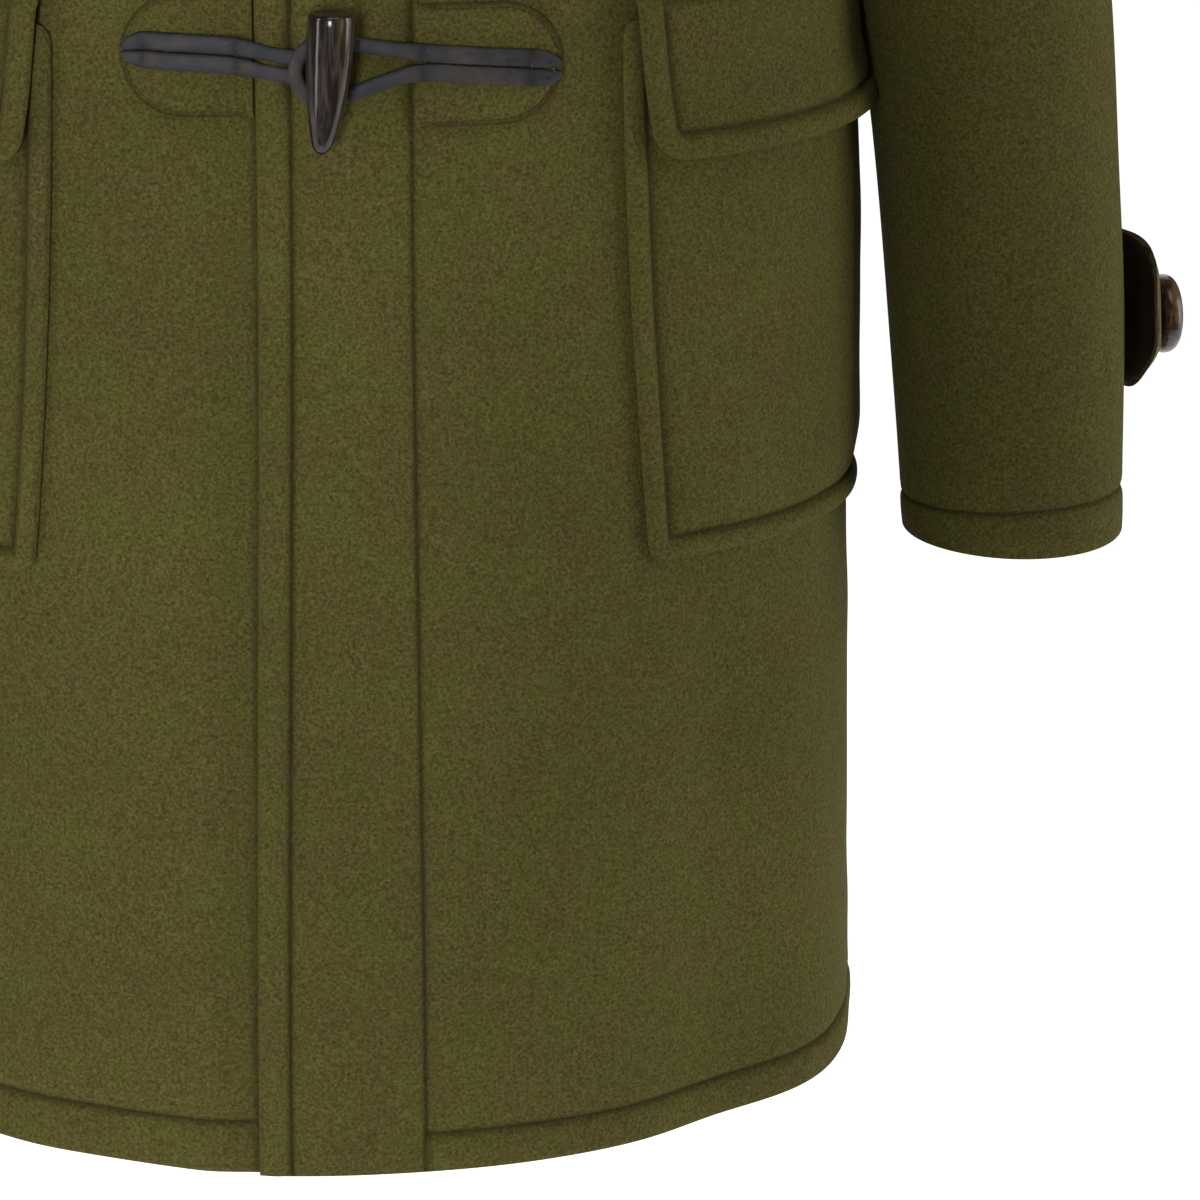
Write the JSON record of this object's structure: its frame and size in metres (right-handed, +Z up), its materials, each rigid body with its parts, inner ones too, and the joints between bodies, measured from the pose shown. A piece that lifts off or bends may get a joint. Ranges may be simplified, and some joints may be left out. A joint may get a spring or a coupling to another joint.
{
  "type": "duffle coat",
  "caption": "Knee-length hooded wool overcoat with horn toggles on leather loops, flapped patch pockets and buttoned cuff tabs, hollow as worn.",
  "frame": {"origin": "in the middle of the neck, level with the tops of the shoulders at the neck, where the wearer holds the coat up", "axes": "+X to the wearer's left, +Z up, -Y out of the coat's front"},
  "size_m": [0.8054, 0.3832, 1.0175],
  "materials": {
    "wool": "milled melton wool in olive green, matt with a short nap",
    "thong_leather": "dark grey rounded leather thong, waxed",
    "horn": "polished dark horn with brown streaks",
    "tab_leather": "dark brown leather with a pale cut edge",
    "button_horn": "mottled brown horn, satin"
  },
  "bodies": {
    "root": {"front_left": "wool", "front_right": "wool", "back": "wool", "sleeve_left": "wool", "sleeve_right": "wool", "hood_left": "wool", "hood_right": "wool", "pocket_left": "wool", "pocket_right": "wool", "pocket_flap_left": "wool", "pocket_flap_right": "wool", "patch_left_1": "wool", "patch_left_2": "wool", "patch_left_3": "wool", "patch_right_1": "wool", "patch_right_2": "wool", "patch_right_3": "wool", "loop_thong_1": "thong_leather", "loop_thong_2": "thong_leather", "loop_thong_3": "thong_leather", "toggle_thong_1": "thong_leather", "toggle_thong_2": "thong_leather", "toggle_thong_3": "thong_leather", "toggle_1": "horn", "toggle_2": "horn", "toggle_3": "horn", "cuff_tab_left": "tab_leather", "cuff_tab_right": "tab_leather", "cuff_button_left": "button_horn", "cuff_button_right": "button_horn"}
  },
  "joints": []
}
